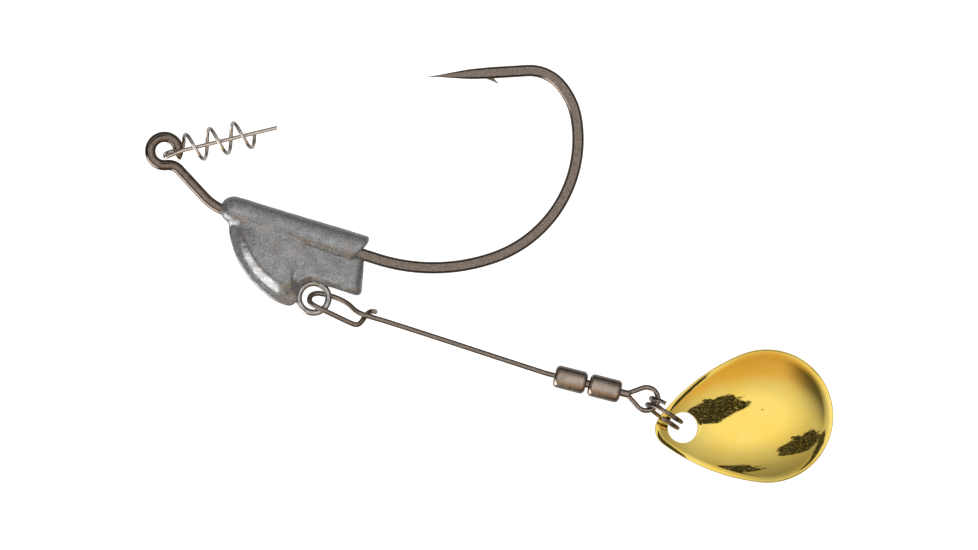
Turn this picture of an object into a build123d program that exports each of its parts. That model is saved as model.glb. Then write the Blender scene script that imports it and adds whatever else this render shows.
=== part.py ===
"""Weighted wide-gap hook with a screw-in bait keeper and a trailing spinner blade.

Frame, in millimetres: the lure lies on its side with the hook in the XY plane.
The origin is the centre of the line-tie eye, +X runs towards the blade and +Z is up.
"""

from build123d import *
from math import asin, atan2, cos, degrees, pi, radians, sin, sqrt, tan
import os

os.makedirs("parts", exist_ok=True)

# ------------------------------------------------------------------ driving dimensions
# Hook: round wire up to the lead, flattened wire after it
eye_wire_d = 1.58
eye_loop_r = 2.07            # centreline of the closed eye
eye_end_angle = 8.0          # where the eye's wire starts to taper, from +X
eye_taper_length = 1.55
eye_tip_r = 0.25
neck_heading = -47.2         # degrees from +X
neck_beside = -0.26          # the neck's line passes this far from the eye's centre
neck_bend_r = 2.2            # reverse bend between the eye and the neck
neck_length = 5.35
shank_heading = -17.6
shank_bend_r = 8.0
shank_length = 22.9          # straight wire inside the lead
forged_start = 14.0          # the flattened wire starts this far along the shank
forged_width = 1.74          # in the hook's plane
forged_thickness = 1.36
bend_arcs = ((27.04, 36.5), (18.3, 80.6), (10.08, 32.0), (5.9, 52.0))
point_leg = 4.9              # straight wire at full width before the point
shoulder_length = 3.2
shoulder_width = 1.52
needle_length = 6.4
needle_tip_d = 0.10
barb_from_tip = 8.5          # front of the barb's root
barb_root = 1.1
barb_sweep = 1.8             # the barb's tip lies this far behind the front of its root
barb_height = 0.85           # and this far inside the wire's edge
barb_thickness = 0.5

# Bait keeper: one spring wire, a centring pin with a coil round it
keeper_wire_d = 0.57
keeper_heading = 13.5
pin_beside = -0.55           # the pin's line passes this far from the eye's centre
pin_reach = 16.84            # from the eye's centre to the pin's tip
pin_bend_at = 2.6
pin_bend_r = 2.4
turn_front_in = 0.28         # where the wire goes down, inside the eye's wire
turn_back_in = 1.0           # and where it comes up behind
turn_at = -0.09
turn_r = 0.8                 # where it turns down into the eye and up again
coil_r = 2.06
coil_beside = 0.11           # coil axis beside the pin's
coil_pitch = 3.57
climb_inside = 0.113         # the wire starts to climb this far inside the eye's outside
coil_lead_angle = 60.0       # the climbing wire meets the coil this far before its first top
coil_turns = 2.9
eye_play = 0.06              # between the keeper's wire and the eye's wire

# Cast lead, laid out from the corner between the neck and the shank
ridge_r = 2.05
ridge_rise = 0.72            # ridge axis above the shank
ridge_nose = 2.9             # centre of its rounded nose
ridge_end_short = 0.5        # the ridge ends this far before the straight wire does
ridge_end_slope = 30.0
lead_skin = 0.2              # least lead between the fin's top and the wire
keel_half = 3.2
keel_taper = 24.0
keel_front = (2.6, -1.5)
keel_belly = (7.45, -7.92)
keel_toe = (13.3, -10.5)
keel_heel = 15.7
notch_top = -6.0
heel_round = 1.4
fin_half = 2.2
fin_taper = 14.0
fin_past_ridge = 1.9         # its lower rear corner, past the ridge's end
fin_lean = 2.0
fin_round = 0.9

# Belly eyelet, cast into the lead
eyelet_wire_d = 0.96
eyelet_r = 2.17
eyelet_behind_heel = 2.15
eyelet_below_notch = 2.20
eyelet_tail = 3.2

# Spinner arm, with the snap loop that hangs it on the eyelet
arm_wire_d = 0.77
arm_heading = -18.0
arm_length = 35.68           # from the eyelet's centre to the bend before the swivel
link_play = 0.12             # between the loop's wire and the wires that it crosses
loop_nose = -0.45            # the loop's points, along the arm and across it
loop_upper = 1.15
loop_lower = -1.65
loop_corner = 7.75
loop_join = 9.6
snap_end = 9.28
snap_height = 0.95
snap_curl = 0.60
loop_bend_r = 0.7            # tight bends at the loop's nose and corner
loop_mouth_r = 2.0           # gentle bends where its strands part
arm_bend_r = 4.0             # bends along the arm itself

# Double rolling swivel
swivel_heading = -14.3
swivel_lead = 1.28           # straight wire between the arm's bend and the barrel
barrel_d = 3.34
barrel_length = 4.80
barrel_gap = 0.38
barrel_wall = 0.42
barrel_end_wall = 0.60
barrel_round = 0.40
centre_neck_d = 1.20
eye_neck_d = 1.10
running_play = 0.05          # radial, in each end wall's hole
head_play = 0.08             # between heads and walls
head_r_play = 0.15
swivel_eye_wire_d = 0.75
swivel_eye_r = 1.70
swivel_eye_reach = 3.88      # loop centre behind the rear barrel
swivel_eye_split = 0.85      # where its two legs part, behind the rear barrel

# Split ring, two turns
split_wire_d = 0.60
split_r = 2.83
split_pitch = 1.06
split_turns = 1.96
split_heading = -33.0
split_tilt = 6.0
split_ahead = 3.32           # its centre from the swivel eye's, along its heading
split_beside = -0.34         # and across it

# Spinner blade
blade_heading = 7.9
blade_tip_r = 2.66
blade_end_r = 9.77
blade_centres = 13.81        # between the tip's and the end's circles
blade_flank_r = 29.5
blade_thickness = 0.5
blade_hole_r = 2.30
blade_hole_in = 1.33         # hole centre from the tip circle's centre
cup_at = 11.0                # deepest point, from the tip circle's centre
cup_long_r = 25.6
cup_cross_r = 15.1
cup_half_angle = 55.0        # the cup's arc is swung this far each way, past the outline
blade_ahead = 3.33           # hole centre from the split ring's, along the ring
blade_beside = -0.38         # and across it


# ------------------------------------------------------------------ helpers
def heading(angle):
    """Unit vector in the hook's plane, at an angle from +X."""
    return Vector(cos(radians(angle)), sin(radians(angle)), 0)


def flat_frame(origin, angle):
    """Plane level with the hook, its x along a heading."""
    return Plane(origin=origin, x_dir=heading(angle), z_dir=(0, 0, 1))


def square_to(point, direction):
    """Plane square to a wire that runs in the hook's plane; its x is up."""
    return Plane(origin=point, x_dir=(0, 0, 1), z_dir=direction)


def swept_wire(path, diameter):
    """Solid of a round wire along a path."""
    with BuildPart() as wire:
        with BuildSketch(Plane(origin=path @ 0, z_dir=path % 0)):
            Circle(diameter / 2)
        sweep(path=path)
    return wire.part


def forged_face(plane, width):
    """Section of the flattened wire: a disc with its top and bottom cut off."""
    with BuildSketch(plane) as section:
        Circle(width / 2)
        Rectangle(width * forged_thickness / forged_width, width, mode=Mode.INTERSECT)
    return section.sketch


def finish_piece(piece, name):
    """Name a finished piece and write it."""
    piece.label = name
    export_step(piece, f"parts/{name}.step")


# ------------------------------------------------------------------ hook
neck_dir = heading(neck_heading)
neck_side = heading(neck_heading + 90)

# The reverse bend touches the eye's circle from outside and runs into the neck.
bend_beside = neck_beside - neck_bend_r
bend_along = sqrt((eye_loop_r + neck_bend_r) ** 2 - bend_beside**2)
reverse_centre = neck_dir * bend_along + neck_side * bend_beside
reverse_angle = degrees(atan2(reverse_centre.Y, reverse_centre.X))
eye_start = heading(eye_end_angle) * eye_loop_r
eye_sweep = 360 + reverse_angle - eye_end_angle
reverse_turn = neck_heading - (reverse_angle + 90)

with BuildLine() as round_path:
    eye_arc = JernArc(eye_start, heading(eye_end_angle + 90), eye_loop_r, eye_sweep)
    reverse_arc = JernArc(eye_arc @ 1, eye_arc % 1, neck_bend_r, reverse_turn)
    neck_line = Line(reverse_arc @ 1, (reverse_arc @ 1) + neck_dir * neck_length)
    shank_arc = JernArc(neck_line @ 1, neck_dir, shank_bend_r, shank_heading - neck_heading)
    Line(shank_arc @ 1, (shank_arc @ 1) + heading(shank_heading) * forged_start)

shank_dir = heading(shank_heading)
shank_start = shank_arc @ 1
shank_corner = shank_start - shank_dir * shank_bend_r * tan(
    radians((shank_heading - neck_heading) / 2)
)
shank_frame = flat_frame(shank_corner, shank_heading)

with BuildLine() as forged_path:
    run = Line(shank_start + shank_dir * forged_start, shank_start + shank_dir * shank_length)
    for bend_r, bend_angle in bend_arcs:
        run = JernArc(run @ 1, run % 1, bend_r, bend_angle)
    Line(run @ 1, (run @ 1) + (run % 1) * point_leg)

point_dir = forged_path.line % 1
shoulder_start = forged_path.line @ 1
needle_start = shoulder_start + point_dir * shoulder_length
point_tip = needle_start + point_dir * needle_length
point_frame = Plane(origin=point_tip, x_dir=-point_dir, z_dir=(0, 0, 1))

with BuildPart() as hook:
    with BuildSketch(square_to(eye_start, eye_arc % 0)):
        Circle(eye_wire_d / 2)
    sweep(path=round_path.line)
    with BuildSketch(square_to(eye_start, eye_arc % 0)):
        Circle(eye_wire_d / 2)
    with BuildSketch(square_to(eye_start - (eye_arc % 0) * eye_taper_length, eye_arc % 0)):
        Circle(eye_tip_r)
    loft()
    with BuildSketch(square_to(forged_path.line @ 0, shank_dir)):
        add(forged_face(Plane.XY, forged_width))
    sweep(path=forged_path.line)
    with BuildSketch(square_to(shoulder_start, point_dir)):
        add(forged_face(Plane.XY, forged_width))
    with BuildSketch(square_to(needle_start, point_dir)):
        add(forged_face(Plane.XY, shoulder_width))
    loft(ruled=True)
    with BuildSketch(square_to(needle_start, point_dir)):
        add(forged_face(Plane.XY, shoulder_width))
    with BuildSketch(square_to(point_tip, point_dir)):
        add(forged_face(Plane.XY, needle_tip_d))
    loft(ruled=True)
    # The barb is a sliver raised from the point's inner side.
    with BuildSketch(point_frame):
        with BuildLine():
            Polyline(
                (barb_from_tip, -shoulder_width / 4),
                (barb_from_tip + barb_sweep, -forged_width / 2 - barb_height),
                (barb_from_tip + barb_root, -shoulder_width / 4),
                close=True,
            )
        make_face()
    extrude(amount=barb_thickness / 2, both=True)
finish_piece(hook.part, "hook")

# ------------------------------------------------------------------ bait keeper
# Points along the pin, beside it and above the hook's plane.
keeper_frame = flat_frame((0, 0, 0), keeper_heading)
keeper_rise = (eye_wire_d + keeper_wire_d) / 2 + eye_play
coil_axis_beside = pin_beside + coil_beside
lead_angle = radians(coil_lead_angle)
eye_hole_r = eye_loop_r - eye_wire_d / 2
climb_at = eye_loop_r + eye_wire_d / 2 - climb_inside
coil_tangent = Vector(
    coil_pitch / (2 * pi), coil_r * sin(lead_angle), coil_r * cos(lead_angle)
).normalized()
coil_lead_in = (2 * keeper_rise - coil_r * sin(lead_angle)) / coil_tangent.Z
coil_start = Vector(
    climb_at + coil_tangent.X * coil_lead_in,
    coil_axis_beside + coil_r * cos(lead_angle),
    keeper_rise - coil_r * sin(lead_angle),
)
keeper_points = [
    Vector(pin_reach, pin_beside, keeper_rise),
    Vector(pin_bend_at, pin_beside, keeper_rise),
    Vector(turn_at, turn_front_in - eye_hole_r, keeper_rise),
    Vector(turn_at, turn_back_in - eye_hole_r, -keeper_rise),
    coil_start - coil_tangent * coil_lead_in,
    coil_start,
]
coil_frame = Plane(
    origin=keeper_frame.from_local_coords(
        Vector(coil_start.X, coil_axis_beside, keeper_rise)
    ),
    x_dir=heading(keeper_heading + 90) * cos(lead_angle) - Vector(0, 0, sin(lead_angle)),
    z_dir=heading(keeper_heading),
)

with BuildLine() as keeper_path:
    FilletPolyline(
        *[keeper_frame.from_local_coords(point) for point in keeper_points],
        radius=[pin_bend_r, turn_r, turn_r, turn_r],
    )
coil_path = coil_frame * Helix(coil_pitch, coil_pitch * coil_turns, coil_r)

with BuildPart() as bait_keeper:
    add(swept_wire(keeper_path.line, keeper_wire_d))
    add(swept_wire(coil_path, keeper_wire_d))
finish_piece(bait_keeper.part, "bait_keeper")

# ------------------------------------------------------------------ belly eyelet
eyelet_local = Vector(keel_heel + eyelet_behind_heel, notch_top - eyelet_below_notch, 0)
eyelet_centre = shank_frame.from_local_coords(eyelet_local)
eyelet_frame = flat_frame(eyelet_centre, shank_heading)

with BuildPart(eyelet_frame) as belly_eyelet:
    Torus(eyelet_r, eyelet_wire_d / 2)
    with Locations((0, eyelet_r + eyelet_tail / 2, 0)):
        Cylinder(eyelet_wire_d / 2, eyelet_tail, rotation=(90, 0, 0))
finish_piece(belly_eyelet.part, "belly_eyelet")

# ------------------------------------------------------------------ lead weight
# The ridge holds the shank. Its end leans back over the fin, so it is cut by itself.
ridge_end = shank_length - ridge_end_short
ridge_cut = Plane(
    origin=shank_frame.from_local_coords(Vector(ridge_end, ridge_rise, 0)),
    x_dir=(0, 0, 1),
    z_dir=heading(shank_heading - ridge_end_slope),
)
fin_end = ridge_end + fin_past_ridge
fin_top = -forged_width / 2 - lead_skin

with BuildPart(shank_frame) as casting:
    with Locations((ridge_nose, ridge_rise, 0)):
        Sphere(ridge_r)
        Cylinder(
            ridge_r,
            ridge_end - ridge_nose + ridge_r,
            rotation=(0, 90, 0),
            align=(Align.CENTER, Align.CENTER, Align.MIN),
        )
    split(bisect_by=ridge_cut, keep=Keep.BOTTOM)
    with BuildSketch(shank_frame) as keel_face:
        with BuildLine():
            front = ThreePointArc(keel_front, keel_belly, keel_toe)
            toe = Line(front @ 1, (keel_heel, keel_toe[1]))
            heel = Line(toe @ 1, (keel_heel, 0))
            Polyline(heel @ 1, (keel_front[0], 0), keel_front)
        make_face()
        heel_corners = keel_face.vertices().sort_by(Axis.Y)[:2]
        fillet(heel_corners.sort_by(Axis.X)[-1:], heel_round)
    extrude(amount=keel_half, both=True, taper=keel_taper)
    with BuildSketch(shank_frame) as fin_face:
        with BuildLine():
            Polyline(
                (keel_heel - 2 * heel_round, 0),
                (keel_heel - 2 * heel_round, notch_top),
                (fin_end, notch_top),
                (fin_end - fin_lean, fin_top),
                (ridge_end - ridge_r, 0),
                close=True,
            )
        make_face()
        fillet(fin_face.vertices().group_by(Axis.X)[-1], fin_round)
    extrude(amount=fin_half, both=True, taper=fin_taper)

# The lead is cast round the shank and round the eyelet's ring and tail.
with BuildPart() as lead_weight:
    add(casting.part)
    add(hook.part, mode=Mode.SUBTRACT)
    add(belly_eyelet.part, mode=Mode.SUBTRACT)
finish_piece(lead_weight.part, "lead_weight")

# ------------------------------------------------------------------ swivel frame
arm_frame = flat_frame(eyelet_centre, arm_heading)
arm_bend = eyelet_centre + heading(arm_heading) * arm_length
swivel_dir = heading(swivel_heading)
swivel_frame = flat_frame(
    arm_bend + swivel_dir * (swivel_lead + barrel_length / 2), swivel_heading
)
swivel_axis = Axis(swivel_frame.origin, swivel_dir)
rear_at = barrel_length + barrel_gap         # rear barrel's centre, from the front one's
cavity_half = barrel_length / 2 - barrel_end_wall
head_r = barrel_d / 2 - barrel_wall - head_r_play
# Two heads share a cavity, with play before, between and behind them.
head_length = (2 * cavity_half - 3 * head_play) / 2


def spindle(*lengths):
    """Solid of round lengths on the swivel's axis, each as start, end and radius."""
    with BuildPart() as solid:
        with BuildSketch(swivel_frame):
            for start, end, radius in lengths:
                with Locations(((start + end) / 2, radius / 2)):
                    Rectangle(end - start, radius)
        revolve(axis=swivel_axis)
    return solid.part


def barrel_shell(centre, front_hole_r, rear_hole_r):
    """Hollow barrel with a hole in each end wall."""
    half = barrel_length / 2
    outside = spindle((centre - half, centre + half, barrel_d / 2))
    with BuildPart() as barrel:
        add(outside)
        fillet(barrel.edges().filter_by(GeomType.CIRCLE), barrel_round)
        add(
            spindle(
                (centre - half, centre, front_hole_r),
                (centre - cavity_half, centre + cavity_half, barrel_d / 2 - barrel_wall),
                (centre, centre + half, rear_hole_r),
            ),
            mode=Mode.SUBTRACT,
        )
    return barrel.part


def head(near, far):
    """The upset end of a wire inside a barrel, as one length of a spindle."""
    return near, far, head_r


# ------------------------------------------------------------------ spinner arm
# Points along the arm, across it and above the hook's plane, from the eyelet's centre.
loop_rise = (eyelet_wire_d + arm_wire_d) / 2 + link_play
cross_rise = arm_wire_d + link_play
arm_points = [
    swivel_frame.origin - swivel_dir * (cavity_half - head_play),
    arm_bend,
] + [
    arm_frame.from_local_coords(Vector(point))
    for point in (
        (loop_join, 0, 0),
        (eyelet_r + arm_wire_d, loop_upper, -loop_rise),
        (loop_nose, loop_upper - arm_wire_d / 2, -loop_rise),
        (loop_nose, -arm_wire_d, loop_rise),
        (eyelet_r, loop_lower + arm_wire_d / 2, loop_rise),
        (loop_corner, loop_lower, 0),
        (loop_corner + arm_wire_d / 2, 0, -cross_rise),
        (snap_end - arm_wire_d / 2, snap_height, -arm_wire_d / 2),
        (snap_end, snap_height, snap_curl),
    )
]

with BuildLine() as arm_path:
    FilletPolyline(
        *arm_points,
        radius=[
            arm_bend_r, arm_bend_r, loop_mouth_r, loop_bend_r, loop_bend_r,
            loop_mouth_r, loop_bend_r, loop_bend_r, arm_wire_d / 2,
        ],
    )

with BuildPart() as spinner_arm:
    add(swept_wire(arm_path.line, arm_wire_d))
    add(spindle(head(-cavity_half + head_play, -cavity_half + head_play + head_length)))
finish_piece(spinner_arm.part, "spinner_arm")

# ------------------------------------------------------------------ swivel barrels and pin
centre_r = centre_neck_d / 2
eye_neck_r = eye_neck_d / 2
front_barrel = barrel_shell(0, arm_wire_d / 2 + running_play, centre_r + running_play)
rear_barrel = barrel_shell(rear_at, centre_r + running_play, eye_neck_r + running_play)
finish_piece(front_barrel, "front_barrel")
finish_piece(rear_barrel, "rear_barrel")

pin_front = cavity_half - head_play
pin_rear = rear_at - cavity_half + head_play
centre_pin = spindle(
    head(pin_front - head_length, pin_front),
    (pin_front, pin_rear, centre_r),
    head(pin_rear, pin_rear + head_length),
)
finish_piece(centre_pin, "centre_pin")

# ------------------------------------------------------------------ swivel eye
# A teardrop loop: two legs leave the neck and run tangent into the loop's circle.
eye_head_end = rear_at + cavity_half - head_play
eye_at = rear_at + barrel_length / 2 + swivel_eye_reach
split_at = rear_at + barrel_length / 2 + swivel_eye_split
leg_angle = asin(swivel_eye_r / (eye_at - split_at))
leg_turn = 90 + degrees(leg_angle)
touch_at = eye_at - swivel_eye_r * sin(leg_angle)
touch_beside = swivel_eye_r * cos(leg_angle)

with BuildPart() as swivel_eye:
    add(
        spindle(
            head(eye_head_end - head_length, eye_head_end),
            (eye_head_end, split_at + eye_neck_r, eye_neck_r),
        )
    )
    for side in (1, -1):
        with BuildLine(swivel_frame) as half_loop:
            leg = Line((split_at, 0), (touch_at, side * touch_beside))
            CenterArc((eye_at, 0), swivel_eye_r, side * leg_turn, -side * leg_turn)
        with BuildSketch(Plane(origin=leg @ 0, z_dir=leg % 0)):
            Circle(swivel_eye_wire_d / 2)
        sweep(path=half_loop.line)
finish_piece(swivel_eye.part, "swivel_eye")

# ------------------------------------------------------------------ split ring
eye_centre = swivel_frame.from_local_coords(Vector(eye_at, 0, 0))
ring_dir = heading(split_heading)
ring_side = heading(split_heading + 90)
ring_centre = eye_centre + ring_dir * split_ahead + ring_side * split_beside
tilt = radians(split_tilt)
ring_axis = ring_side * cos(tilt) - Vector(0, 0, sin(tilt))
ring_up = ring_side * sin(tilt) + Vector(0, 0, cos(tilt))
ring_frame = Plane(
    origin=ring_centre - ring_axis * (split_pitch * split_turns / 2),
    x_dir=ring_up,
    z_dir=ring_axis,
)
split_path = ring_frame * Helix(split_pitch, split_pitch * split_turns, split_r)
split_ring = swept_wire(split_path, split_wire_d)
finish_piece(split_ring, "split_ring")

# ------------------------------------------------------------------ spinner blade
# Its outline is a tip circle and an end circle joined by two tangent flank arcs.
hole_centre = ring_centre + ring_dir * blade_ahead + ring_side * blade_beside
blade_floor = -keel_half
blade_frame = flat_frame(
    hole_centre - heading(blade_heading) * blade_hole_in + Vector(0, 0, blade_floor),
    blade_heading,
)
to_tip = blade_flank_r - blade_tip_r
to_end = blade_flank_r - blade_end_r
flank_x = (to_tip**2 - to_end**2 + blade_centres**2) / (2 * blade_centres)
flank_y = sqrt(to_tip**2 - flank_x**2)
tip_touch = Vector(-flank_x, flank_y) * (blade_tip_r / to_tip)
end_touch = Vector(blade_centres, 0) + Vector(blade_centres - flank_x, flank_y) * (
    blade_end_r / to_end
)
cup_frame = Plane(
    origin=blade_frame.from_local_coords(Vector(cup_at, 0, 0)),
    x_dir=heading(blade_heading + 90),
    z_dir=heading(blade_heading),
)
cup_axis = Axis(
    blade_frame.from_local_coords(Vector(cup_at, 0, cup_long_r)),
    heading(blade_heading + 90),
)

cup_start = 270 - cup_half_angle
cup_inner_r = cup_cross_r - blade_thickness

with BuildPart() as blade:
    with BuildSketch(cup_frame):
        with BuildLine():
            outer = CenterArc((0, cup_cross_r), cup_cross_r, cup_start, 2 * cup_half_angle)
            inner = CenterArc((0, cup_cross_r), cup_inner_r, cup_start, 2 * cup_half_angle)
            Line(outer @ 0, inner @ 0)
            Line(outer @ 1, inner @ 1)
        make_face()
    revolve(axis=cup_axis)
    with BuildSketch(blade_frame):
        with BuildLine():
            ThreePointArc(
                (tip_touch.X, tip_touch.Y), (-blade_tip_r, 0), (tip_touch.X, -tip_touch.Y)
            )
            RadiusArc((tip_touch.X, tip_touch.Y), (end_touch.X, end_touch.Y), blade_flank_r)
            RadiusArc((tip_touch.X, -tip_touch.Y), (end_touch.X, -end_touch.Y), -blade_flank_r)
            ThreePointArc(
                (end_touch.X, end_touch.Y),
                (blade_centres + blade_end_r, 0),
                (end_touch.X, -end_touch.Y),
            )
        make_face()
        with Locations((blade_hole_in, 0)):
            Circle(blade_hole_r, mode=Mode.SUBTRACT)
    extrude(amount=cup_long_r / 2, mode=Mode.INTERSECT)
finish_piece(blade.part, "blade")
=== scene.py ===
from math import acos, asin, atan2, cos, degrees, pi, radians, sin, sqrt, tan

import bmesh
import bpy
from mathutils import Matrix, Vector


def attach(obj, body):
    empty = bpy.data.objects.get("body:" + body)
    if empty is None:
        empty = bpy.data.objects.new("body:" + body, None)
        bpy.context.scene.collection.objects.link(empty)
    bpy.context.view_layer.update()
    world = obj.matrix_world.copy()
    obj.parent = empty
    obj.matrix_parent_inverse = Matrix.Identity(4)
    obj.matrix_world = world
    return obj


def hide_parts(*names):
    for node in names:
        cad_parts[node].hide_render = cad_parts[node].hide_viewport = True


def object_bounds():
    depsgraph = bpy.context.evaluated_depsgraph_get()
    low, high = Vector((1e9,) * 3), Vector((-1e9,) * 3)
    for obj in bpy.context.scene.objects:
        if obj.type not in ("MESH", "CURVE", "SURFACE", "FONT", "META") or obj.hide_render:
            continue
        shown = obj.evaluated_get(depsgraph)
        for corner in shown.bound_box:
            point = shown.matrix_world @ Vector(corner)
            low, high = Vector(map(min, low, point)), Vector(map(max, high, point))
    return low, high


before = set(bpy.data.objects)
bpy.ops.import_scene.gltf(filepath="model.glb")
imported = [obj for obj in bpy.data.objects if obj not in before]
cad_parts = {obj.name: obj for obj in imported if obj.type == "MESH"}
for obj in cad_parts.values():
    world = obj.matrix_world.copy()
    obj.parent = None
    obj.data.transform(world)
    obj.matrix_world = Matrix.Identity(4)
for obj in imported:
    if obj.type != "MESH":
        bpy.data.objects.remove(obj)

MM = 0.001
CAD_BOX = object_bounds()

# ------------------------------------------------------------------ sizes shared with the design
# Hook
EYE_LOOP_R = 2.07
EYE_END_ANGLE = 8.0
EYE_TAPER = 1.55
EYE_TIP_R = 0.25
NECK_HEADING = -47.2
NECK_BESIDE = -0.26
NECK_BEND_R = 2.2
NECK_LENGTH = 5.35
SHANK_HEADING = -17.6
SHANK_BEND_R = 8.0
SHANK_LENGTH = 22.9
FORGED_START = 14.0
BEND_ARCS = ((27.04, 36.5), (18.3, 80.6), (10.08, 32.0), (5.9, 52.0))
POINT_LEG = 4.9
SHOULDER_LENGTH = 3.2
SHOULDER_R = 0.76
NEEDLE_LENGTH = 6.4
NEEDLE_TIP_R = 0.05

# Cast lead, laid out from the corner between the neck and the shank
RIDGE_R = 2.05
RIDGE_RISE = 0.72
RIDGE_NOSE = 2.9
RIDGE_END = 22.4
RIDGE_END_SLOPE = 30.0
KEEL_FRONT = (2.6, -1.5)
KEEL_BELLY = (7.45, -7.92)
KEEL_TOE = (13.3, -10.5)
KEEL_HEEL = 15.7
HEEL_ROUND = 1.4
NOTCH_TOP = -6.0
FIN_END = 24.3
EYELET_AT = (17.85, -8.2)

# Spinner arm and double rolling swivel
ARM_WIRE_R = 0.385
ARM_HEADING = -18.0
ARM_LENGTH = 35.68
SWIVEL_LEAD = 1.28           # straight wire between the arm's bend and the barrel
SWIVEL_HEADING = -14.3
BARREL_R = 1.67
BARREL_LENGTH = 4.80
BARREL_PITCH = 5.18
BARREL_WALL = 0.42
BARREL_END_WALL = 0.60
RUNNING_PLAY = 0.05
HEAD_PLAY = 0.08
CENTRE_NECK_R = 0.60
EYE_NECK_R = 0.55

# Spinner blade
BLADE_HEADING = 7.9
BLADE_TIP_R = 2.66
BLADE_END_R = 9.77
BLADE_CENTRES = 13.81
BLADE_FLANK_R = 29.5
BLADE_THICKNESS = 0.5
BLADE_HOLE_R = 2.30
BLADE_HOLE_IN = 1.33
CUP_AT = 11.0
CUP_LONG_R = 25.6
CUP_CROSS_R = 15.1

# Mesh work
JOIN = 0.01                  # points of an outline nearer than this are made one
FINE_JOIN = 0.001            # the same, once a piece is whole

# ------------------------------------------------------------------ workshop helpers
def heading(angle):
    """Unit vector in the hook's plane, at an angle from +X."""
    return Vector((cos(radians(angle)), sin(radians(angle)), 0))


def clear_selection():
    """Leave edit mode, if need be, and select nothing."""
    if bpy.context.object and bpy.context.object.mode == "EDIT":
        bpy.ops.object.mode_set(mode="OBJECT")
    bpy.ops.object.select_all(action="DESELECT")


def take_up(piece):
    """Make one piece the only selected one, and the active one."""
    clear_selection()
    piece.select_set(True)
    bpy.context.view_layer.objects.active = piece


def start_editing(piece, name):
    """Name a new primitive, put its place into its mesh and select all of it for editing."""
    piece.name = name
    bpy.ops.object.transform_apply(location=True, rotation=True, scale=True)
    bpy.ops.object.mode_set(mode="EDIT")
    bpy.ops.mesh.select_mode(type="VERT")
    bpy.ops.mesh.select_all(action="SELECT")
    return piece


def settle(piece, smooth_angle=40.0):
    """Leave edit mode with doubles merged, faces pointing out and smooth shading."""
    take_up(piece)
    bpy.ops.object.mode_set(mode="EDIT")
    bpy.ops.mesh.select_all(action="SELECT")
    bpy.ops.mesh.remove_doubles(threshold=FINE_JOIN * MM)
    bpy.ops.mesh.normals_make_consistent(inside=False)
    bpy.ops.object.mode_set(mode="OBJECT")
    bpy.ops.object.shade_smooth_by_angle(angle=radians(smooth_angle))
    return piece


def set_down(piece, place, turn):
    """Turn a piece in the hook's plane, move it to its place and put both into its mesh."""
    piece.rotation_euler = (0, 0, radians(turn))
    piece.location = place * MM
    take_up(piece)
    bpy.ops.object.transform_apply(location=True, rotation=True, scale=True)


def apply_modifier(piece, kind, **settings):
    """Add a modifier with its settings and make it part of the mesh."""
    take_up(piece)
    modifier = piece.modifiers.new(kind.lower(), kind)
    for key, value in settings.items():
        setattr(modifier, key, value)
    bpy.ops.object.modifier_apply(modifier=modifier.name)


def choose(piece, kind, wanted):
    """In edit mode, select only the verts, edges or faces that a test wants."""
    bpy.ops.mesh.select_mode(type={"verts": "VERT", "edges": "EDGE", "faces": "FACE"}[kind])
    bpy.ops.mesh.select_all(action="DESELECT")
    mesh = bmesh.from_edit_mesh(piece.data)
    for item in getattr(mesh, kind):
        if wanted(item):
            item.select_set(True)
    mesh.select_flush_mode()
    bmesh.update_edit_mesh(piece.data)


class Pen:
    """Draws a shape in the hook's plane from a live end: a disc leaves a wire, a point a line."""

    def __init__(self, name, point, angle, radius=0.0, sides=28):
        self.point = Vector((point[0], point[1], 0.0))
        self.angle = angle
        clear_selection()
        if radius:
            turned = heading(angle).to_track_quat("Z", "Y").to_euler()
            bpy.ops.mesh.primitive_circle_add(
                vertices=sides, radius=radius * MM, fill_type="NGON",
                location=self.point * MM, rotation=turned,
            )
        else:
            bpy.ops.mesh.primitive_plane_add(size=MM, location=self.point * MM)
        self.piece = start_editing(bpy.context.object, name)
        if not radius:
            bpy.ops.mesh.merge(type="CENTER")

    def run(self, length, scale=1.0):
        """Go straight on, with the end made larger or smaller."""
        step = heading(self.angle) * length
        bpy.ops.mesh.extrude_region_move(TRANSFORM_OT_translate={"value": step * MM})
        self.point += step
        if scale != 1.0:
            bpy.ops.transform.resize(value=(scale,) * 3, center_override=self.point * MM)

    def bend(self, radius, turn, steps):
        """Go round an arc, to the left if the turn is positive."""
        arm = radius if turn > 0 else -radius
        middle = self.point + heading(self.angle + 90) * arm
        bpy.ops.mesh.spin(
            steps=steps, angle=radians(-turn), center=middle * MM, axis=(0, 0, 1)
        )
        self.angle += turn
        self.point = middle - heading(self.angle + 90) * arm

    def flatten(self, half):
        """Press the live end's top and bottom flat, as a forging die does."""
        mesh = bmesh.from_edit_mesh(self.piece.data)
        end = [vert for vert in mesh.verts if vert.select]
        for vert in end:
            vert.co.z = max(-half * MM, min(half * MM, vert.co.z))
        bmesh.update_edit_mesh(self.piece.data)

    def follow(self, stations):
        """Lead the live end through places in space, square to its way at each of them."""
        way = heading(self.angle)
        for index, place in enumerate(stations):
            bpy.ops.mesh.extrude_region_move(
                TRANSFORM_OT_translate={"value": (place - self.point) * MM}
            )
            before = self.point if index else place - way
            after = stations[index + 1] if index + 1 < len(stations) else place + way
            new_way = (after - before).normalized()
            turn = way.rotation_difference(new_way).to_matrix().to_4x4()
            mesh = bmesh.from_edit_mesh(self.piece.data)
            end = [vert for vert in mesh.verts if vert.select]
            bmesh.ops.rotate(mesh, cent=place * MM, matrix=turn, verts=end)
            bmesh.update_edit_mesh(self.piece.data)
            way = new_way
            self.point = place


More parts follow.
